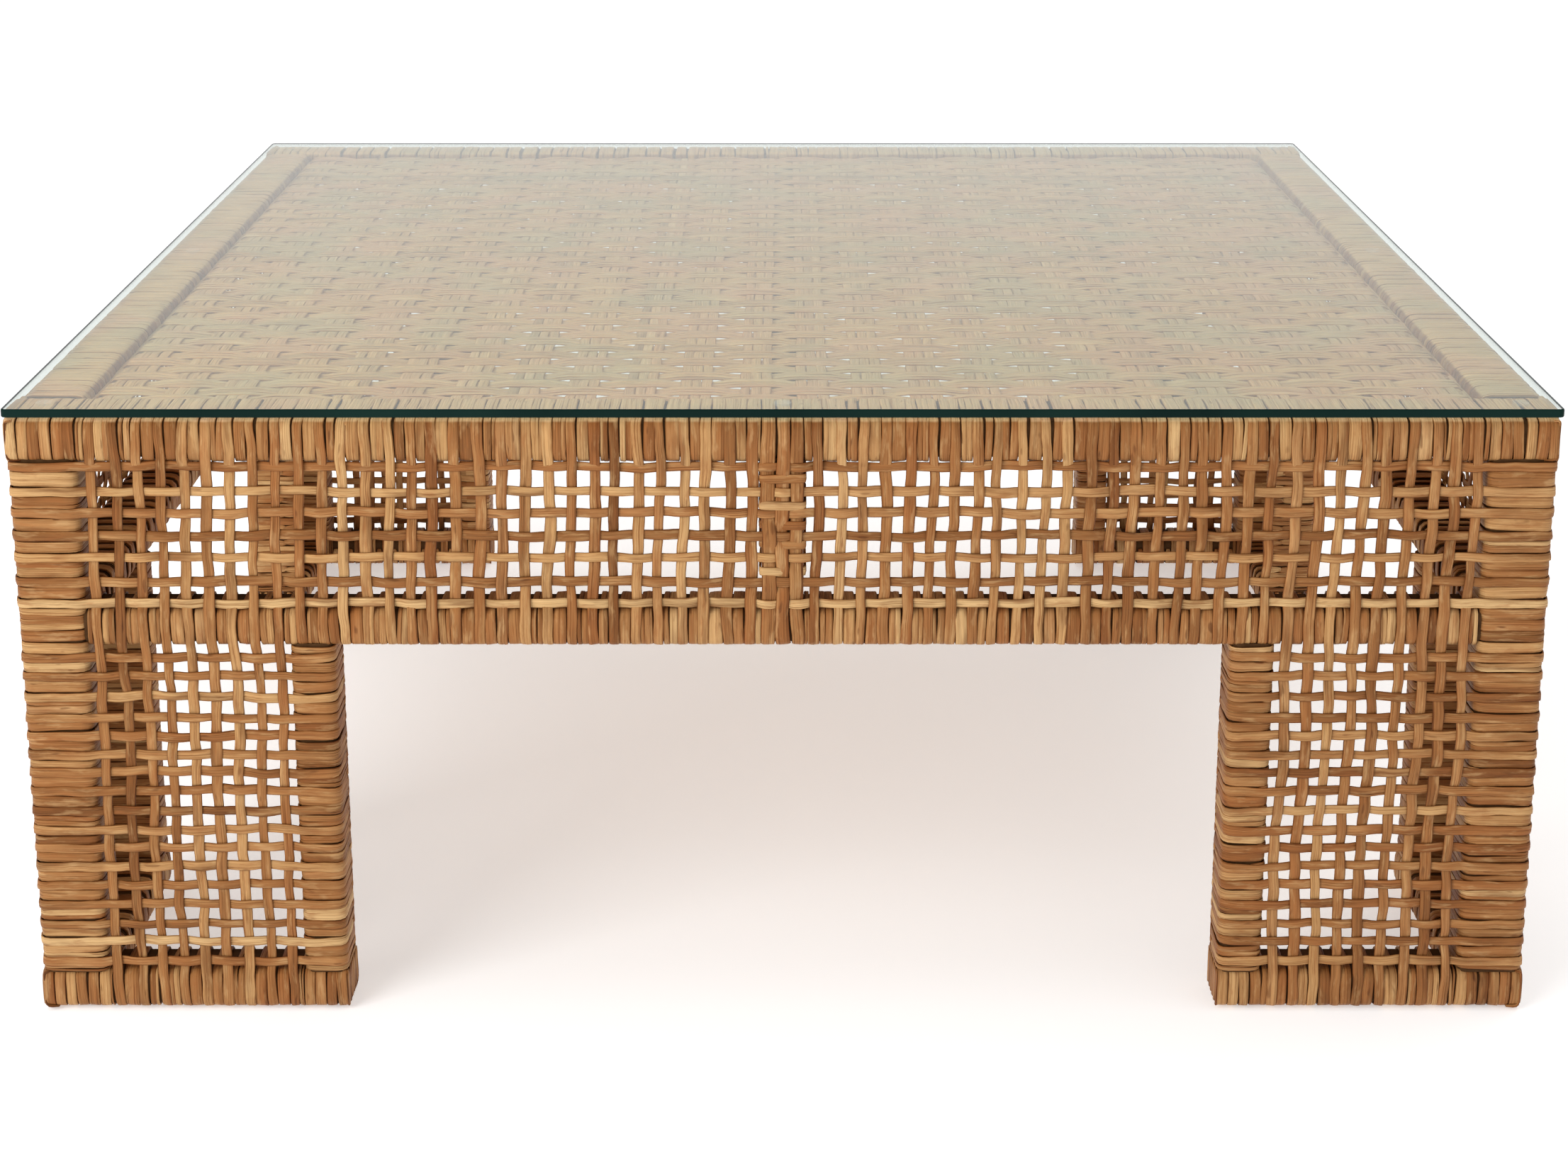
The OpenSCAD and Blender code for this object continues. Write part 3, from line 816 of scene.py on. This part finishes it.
def make_end_post(cane, rng, face, leg_rows):
    """Windings of one end post, and the parts of the leg's rows that pass behind it."""
    t = TIGHT
    outline = box_outline(-LEG_IN - t, -END_OUT + t, -RAIL_IN - t, -HALF + t)
    if face == 1:
        outline = outline[::-1][:, [1, 0]]
    for z, w in filler_levels(rng, leg_rows, APRON_Z, FOOT_TOP):
        cane.ring(outline, post_place(z, rng.normal(0, POST_LEAN)), w, WRAP_T, small=True, roll=0.08,
                  drift=0.0005)
    back = route([(-END_OUT + 0.011, -HALF + t), (-END_OUT + t, -HALF + t),
                  (-END_OUT + t, -RAIL_IN - t), (-LEG_IN - t, -RAIL_IN - t),
                  (-LEG_IN - t, -RAIL_IN - 0.014)], [EDGE_R] * 3, WRAP_STEP)
    for row in leg_rows:
        part_ring(cane, back, row.z, ROW_W, flip=face == 1)


def make_foot(cane, rng, face, corner):
    """Windings round one foot rail, and strands over its ends, drawn as for the front."""
    t = TIGHT
    outline = box_outline(RAIL_IN + t, HALF - t, FOOT_Z + t, FOOT_TOP - t)
    side, bay = bay_beside(corner, face)
    sign = -1 if bay == 0 else 1
    cane.aim(SIDES.index(side) * math.pi / 2)
    places = between(rng, BAYS[side, bay], END_OUT, POST_IN, FOOT_TOP)
    places += spread(LEG_IN + 0.0008, END_OUT, END_POST_WINDINGS)
    ends = spread(POST_IN, HALF + 0.0002, POST_WINDINGS)
    if side in LONG_SIDES:
        places += ends
    else:
        end_strips(cane, [(sign * x, w) for x, w in ends], FOOT_Z, FOOT_TOP)
    wind_rail(cane, outline, [(sign * x, w) for x, w in places], rng)
    count, end_t = 7, 0.0014
    z = np.linspace(FOOT_TOP - 0.0015, FOOT_Z + 0.0012, count)
    for n, w in spread(RAIL_IN, HALF - 0.001, 6):
        path = np.stack([np.full(count, sign * (LEG_IN + 0.0009)), np.full(count, -n), z], 1)
        cane.strand(path, np.tile([-sign * 1.0, 0.0, 0.0], (count, 1)), w, end_t)


# ---- rows: level strands round a corner, through both faces ----

def apron_row_route(stops):
    """Plan of an apron row; stops says how far past the middle of each stile it ends."""
    halves = []
    for stop in stops:
        halves.append([(stop, -STILE_N), (-STILE + 0.001, -STILE_N), (-STILE - 0.006, -WEAVE_N),
                       (-POST_IN + 0.004, -WEAVE_N), (-POST_IN - 0.005, -OVER_N)])
    pts = halves[0] + [(-OVER_N, -OVER_N)] + [(y, x) for x, y in reversed(halves[1])]
    radii = [WOVEN_BEND] * (len(pts) - 2)
    radii[len(halves[0]) - 1] = EDGE_R
    return route(pts, radii, STEP)


def leg_row_route():
    """Plan of a leg row, which turns in round the end post on both faces."""
    half = [(-LEG_IN - TIGHT, -HALF + 0.034), (-LEG_IN - TIGHT, -OVER_N),
            (-END_OUT + 0.004, -OVER_N), (-END_OUT - 0.004, -WEAVE_N),
            (-POST_IN + 0.004, -WEAVE_N), (-POST_IN - 0.005, -OVER_N)]
    pts = half + [(-OVER_N, -OVER_N)] + [(y, x) for x, y in reversed(half)]
    radii = [EDGE_R] + [WOVEN_BEND] * 4 + [EDGE_R] + [WOVEN_BEND] * 4 + [EDGE_R]
    return route(pts, radii, STEP)


def make_rows(corner, turn, material):
    """The rows round one corner, passing over and under the stakes of both its faces."""
    rng = rng_for("row_mesh", corner)
    cane = Cane(f"cane_rows_{corner}", rng, turn)
    bays = (BAYS[bay_beside(corner, 0)], BAYS[bay_beside(corner, 1)])
    apron, legs = ROWS[corner]
    w = 2 * STILE / STILE_STRANDS
    for row in apron + legs:
        is_leg = row.index >= APRON_ROWS
        past = w if row.index % 2 else 0.0           # ends under a strand of the stile
        line = leg_row_route() if is_leg else apron_row_route((past, -past))
        out = left_of(line)
        level = np.full(len(line), row.z)
        shift = np.zeros(len(line))
        for face in (0, 1):
            d, n = (-line[:, 0], -line[:, 1]) if face == 0 else (-line[:, 1], -line[:, 0])
            here = (n > RAIL_IN) & (d < POST_IN + 0.004)
            low = END_OUT if is_leg else -STILE
            stakes = [s for s in bays[face] if s.d > low]
            xs = [float(s.at(row.z)) for s in stakes]
            index = [s.index for s in stakes]
            if not is_leg:                                # the stile's strands come first
                xs = [-w, 0.0, w] + xs
                index = [-3, -2, -1] + index
            inside = window(d, low, POST_IN, 0.006) * here
            shift -= SWING * swing(np.interp(d, xs, index), row.index) * inside
            level += (row.at(face, d) - row.z) * here
        path = np.stack([line[:, 0] + out[:, 0] * shift, line[:, 1] + out[:, 1] * shift, level], 1)
        face_out = np.stack([out[:, 0], out[:, 1], np.zeros(len(line))], 1)
        tone = None if is_leg else ROW_TONES[row.index]
        cane.strand(path, face_out, ROW_W, ROW_T, drift=0.0004, roll=0.12, vary=0.08, tone=tone)
    cane.finish(material, [f"leg_weave_{corner}_x", f"leg_weave_{corner}_y"])


# ---- the field under the glass ----

WARP_GROUPS = 24
WEFT_BUNDLES = 46
GROUP = 3                                             # strands in a group or bundle
FIELD_W = 0.0072
FIELD_T = 0.0011
FIELD_POINTS = 165                                    # along each strand
WARP_RISE = 0.0007                                    # how far a strand goes over and under
WEFT_RISE = 0.0008
WARP_PITCH = FIELD_W * 1.03                           # between the strands of a group
WEFT_PITCH = 0.00702


def field_strand(cane, u, offsets, v, z, swap, width):
    """One strand of the field: along u, placed across at v + offsets, at heights z."""
    x, y = (v + offsets, u) if swap else (u, v + offsets)
    path = np.stack([x, y, z], 1)
    cane.strand(path, np.tile([0.0, 0.0, 1.0], (len(u), 1)), width, FIELD_T, small=True,
                drift=0.0003, roll=0.07)


def over_under(phase, index, flat):
    """Like swing, but it stays up or down for longer: flat near 0 turns over at once."""
    c = np.cos(math.pi * (phase + index))
    return np.sign(c) * np.minimum(np.abs(c) / (1.0 - flat), 1.0)


def make_field(material):
    """Groups of strands from front to back, and bundles woven through them from side to side."""
    reach = -FIELD_LO[0] + 0.001
    mid = (FIELD_LO[2] + FIELD_HI[2]) / 2 + 0.0002
    groups = (np.arange(WARP_GROUPS) + 0.5) * 2 * reach / WARP_GROUPS - reach
    bundles = (np.arange(WEFT_BUNDLES) + 0.5) * 2 * reach / WEFT_BUNDLES - reach
    u = np.linspace(-reach, reach, FIELD_POINTS)
    dip = 0.005 * (1 - window(u, -reach, reach, 0.007))   # the ends go down between the rails
    rng = rng_for("field_warp")
    warp = Cane("field_warp", rng)
    for g, x in enumerate(groups):
        wave = over_under(np.interp(u, bundles, np.arange(WEFT_BUNDLES)), g, 0.35)
        x += rng.normal(0, 0.0008)
        for k in range(GROUP):
            off = (k - 1) * WARP_PITCH + Wobble(rng, 0.0005, 0.2)(u)
            z = mid + WARP_RISE * wave - dip + 0.0001 * (k - 1)
            field_strand(warp, u, off, x, z, True, FIELD_W * 1.05)
    for sign in (-1, 1):                                  # a low strand along both side edges
        low = np.full(len(u), mid - 0.0026) - dip
        field_strand(warp, u, 0 * u, sign * (reach - 0.0045), low, True, FIELD_W * 1.3)
    warp.finish(material, ["top_weave"])
    for part in (0, 1):
        rng = rng_for("field_weft", part)
        weft = Cane(f"field_weft_{part + 1}", rng)
        for r in range(part * WEFT_BUNDLES // 2, (part + 1) * WEFT_BUNDLES // 2):
            wave = -over_under(np.interp(u, groups, np.arange(WARP_GROUPS)), r, 0.45)
            pinch = rng.uniform(0.74, 0.95)
            spread_out = pinch + (0.99 - pinch) * np.clip(0.5 + 0.9 * wave, 0, 1)
            slack = Wobble(rng, 0.0006, 0.3)(u)
            for k in range(GROUP):
                off = (k - 1) * WEFT_PITCH * spread_out + Wobble(rng, 0.0004, 0.1)(u) + slack
                z = mid + WEFT_RISE * wave - dip + 0.00015 * (k - 1)
                field_strand(weft, u, off, bundles[r], z, False, FIELD_W)
        weft.finish(material, ["top_weave"])


# ---- glass ----

def make_glass(clear, edge):
    """The plate with polished, slightly rounded edges and corners."""
    lo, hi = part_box("glass_top")
    corner_r, bevel, steps = 0.004, 0.0011, 8
    half_way = bevel * 0.29                           # in from both faces, on a round edge
    rings = []
    for inset, z in ((bevel, lo[2]), (half_way, lo[2] + half_way), (0, lo[2] + bevel),
                     (0, hi[2] - bevel), (half_way, hi[2] - half_way), (bevel, hi[2])):
        w = hi[0] - inset
        r = corner_r - inset
        pts = []
        for q in range(4):
            cx, cy = ((1, 1), (-1, 1), (-1, -1), (1, -1))[q]
            for k in range(steps + 1):
                a = math.pi / 2 * (q + k / steps)
                pts.append((cx * (w - r) + r * math.cos(a), cy * (w - r) + r * math.sin(a), z))
        rings.append(pts)
    n = len(rings[0])
    verts = [p for ring in rings for p in ring]
    faces = [tuple(reversed(range(n))), tuple(range((len(rings) - 1) * n, len(rings) * n))]
    marks = [0, 0]
    for i in range(len(rings) - 1):
        for j in range(n):
            faces.append((i * n + j, i * n + (j + 1) % n, (i + 1) * n + (j + 1) % n,
                          (i + 1) * n + j))
            marks.append(1)
    mesh = bpy.data.meshes.new("glass_plate")
    mesh.from_pydata(verts, [], faces)
    mesh.materials.append(clear)
    mesh.materials.append(edge)
    mesh.polygons.foreach_set("material_index", marks)
    mesh.update()
    obj = bpy.data.objects.new("glass_plate", mesh)
    bpy.context.scene.collection.objects.link(obj)
    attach(obj, "glass")
    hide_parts("glass_top")


# ---- stage, lights and camera ----

def make_stage():
    """A plain pale floor, which glows a little so that it runs into the background."""
    mat, tree, shader = new_material("stage_white")
    coords = add(tree, "ShaderNodeTexCoord").outputs["Object"]
    base = ramp(tree, noise(tree, coords, 2.0, 2.0), [(0.3, (0.80, 0.80, 0.80)),
                                                      (0.7, (0.82, 0.82, 0.82))])
    tree.links.new(base, shader.inputs["Base Color"])
    shader.inputs["Roughness"].default_value = 0.9
    shader.inputs["Specular IOR Level"].default_value = 0.1
    shader.inputs["Emission Color"].default_value = (1, 1, 1, 1)
    shader.inputs["Emission Strength"].default_value = 0.45
    mesh = bpy.data.meshes.new("stage_floor")
    w = 14.0
    mesh.from_pydata([(-w, -w, 0), (w, -w, 0), (w, w, 0), (-w, w, 0)], [], [(0, 1, 2, 3)])
    mesh.materials.append(mat)
    obj = bpy.data.objects.new("stage_floor", mesh)
    bpy.context.scene.collection.objects.link(obj)


def lamp(name, kind, energy, place, target, **props):
    """A wide, even light that the glass doesn't mirror."""
    data = bpy.data.lights.new(name, kind)
    data.energy = energy
    for key, value in props.items():
        setattr(data, key, value)
    obj = bpy.data.objects.new(name, data)
    obj.visible_glossy = False
    bpy.context.scene.collection.objects.link(obj)
    obj.location = place
    obj.rotation_euler = (Vector(place) - Vector(target)).to_track_quat("Z", "Y").to_euler()


def make_lights():
    """A pale studio, brighter low down, a softbox on the left in front and light from above."""
    world = bpy.data.worlds.new("studio")
    world.use_nodes = True
    tree = world.node_tree
    back = tree.nodes["Background"]
    coords = add(tree, "ShaderNodeTexCoord").outputs["Generated"]
    way = add(tree, "ShaderNodeSeparateXYZ", {0: coords})
    glow = ramp(tree, way.outputs[2], [(0.0, 0.88), (0.17, 0.74), (0.25, 0.56), (0.4, 0.52)])
    tree.links.new(glow, back.inputs[0])
    back.inputs[1].default_value = 1.0
    bpy.context.scene.world = world
    lamp("softbox", "AREA", 60.0, (-2.0, -2.6, 1.9), (0.0, -0.5, 0.25), shape="SQUARE", size=1.8)
    lamp("top", "SUN", 0.85, (0.3, 0.6, 1.8), (0.0, 0.0, 0.0), angle=math.radians(70))


def make_camera():
    """In front of the table and above it, tilted down; the shift is small on purpose."""
    cam = bpy.data.cameras.new("camera")
    cam.sensor_width = 36.0
    cam.lens = 65.1
    cam.shift_y = -0.13
    cam.clip_end = 60.0
    obj = bpy.data.objects.new("camera", cam)
    bpy.context.scene.collection.objects.link(obj)
    obj.location = (0.001, -2.397, 0.954)
    tilt_down = math.radians(14.62)
    obj.rotation_euler = (math.pi / 2 - tilt_down, 0, 0)
    bpy.context.scene.camera = obj


# ---- everything ----

def dress_nodes():
    """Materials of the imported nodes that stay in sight."""
    pale, dark = (0.085, 0.040, 0.015), (0.045, 0.019, 0.006)
    timber = [timber_material(f"timber_{'xyz'[k]}", pale, dark, k) for k in range(3)]
    dowel = timber_material("dowel_beech", (0.62, 0.43, 0.25), (0.48, 0.31, 0.17), 2)
    pad = plastic_material("pad_clear", (0.86, 0.90, 0.89), (0.92, 0.95, 0.94), 0.15, 0.12)
    glide = plastic_material("glide_black", (0.012, 0.011, 0.010), (0.03, 0.028, 0.026), 0.5)
    for name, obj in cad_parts.items():
        if name == "frame_dowels":
            mat = dowel
        elif name == "glass_pads":
            mat = pad
        elif name == "foot_glides":
            mat = glide
        else:
            lo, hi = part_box(name)
            size = [hi[k] - lo[k] for k in range(3)]
            mat = timber[size.index(max(size))]
        obj.data.materials.clear()
        obj.data.materials.append(mat)


# the cane's colours, from pale to dark, and its redder strands
STRAW = (0.64, 0.41, 0.19)
PALE = (0.53, 0.295, 0.118)
MID = (0.345, 0.149, 0.047)
DARK = (0.17, 0.060, 0.014)
RED = (0.31, 0.107, 0.028)
CANE = (STRAW, PALE, MID, DARK, RED)
FIELD_CANE = ((0.88, 0.59, 0.31), (0.86, 0.55, 0.27), (0.79, 0.47, 0.22), (0.48, 0.30, 0.15),
              (0.76, 0.40, 0.20))

make_camera()
make_lights()
make_stage()
bpy.context.scene.view_settings.view_transform = "Standard"
dress_nodes()
panel = cane_material("cane_panel", *CANE, painted_light_from=PAINTED_LIGHT_FROM)
binding = cane_material("cane_binding", *CANE, spots=0.7, painted_light_from=PAINTED_LIGHT_FROM)
field = cane_material("cane_field", *FIELD_CANE, spots=0.4, lines=0.8)
for k, side in enumerate(SIDES):
    make_stakes(side, k * math.pi / 2, panel)
    make_rail_wraps(side, k * math.pi / 2, binding)
for k, corner in enumerate(CORNERS):
    make_rows(corner, k * math.pi / 2, panel)
    make_post_wraps(corner, k * math.pi / 2, binding)
make_field(field)
make_glass(glass_material(), glass_edge_material())
